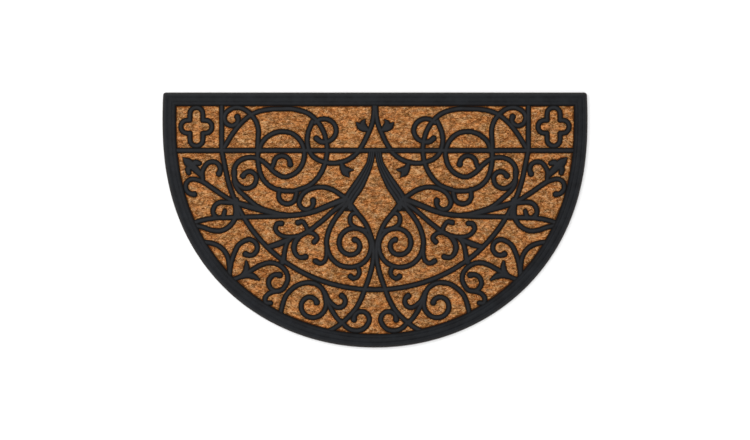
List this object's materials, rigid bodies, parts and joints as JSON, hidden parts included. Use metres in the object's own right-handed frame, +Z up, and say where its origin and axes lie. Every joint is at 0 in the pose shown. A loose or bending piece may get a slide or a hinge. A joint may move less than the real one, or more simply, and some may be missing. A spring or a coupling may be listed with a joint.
{
  "type": "coir doormat",
  "caption": "Flat half-round doormat: a black rubber tray with a raised rim and moulded scrollwork over a golden-brown coir panel, for wiping shoes.",
  "frame": {"origin": "on the underside, in the middle of the mat's box", "axes": "+X along the straight edge, +Y from the round side to the straight edge, +Z up through the thickness"},
  "size_m": [0.75, 0.45, 0.009],
  "materials": {
    "rubber": "moulded black rubber, satin, with fine mould lines along the rim",
    "coir": "brushed coconut fibre pile, tan to golden brown, with dark specks"
  },
  "bodies": {
    "root": {"rubber_moulding": "rubber", "coir_panel": "coir"}
  },
  "joints": []
}
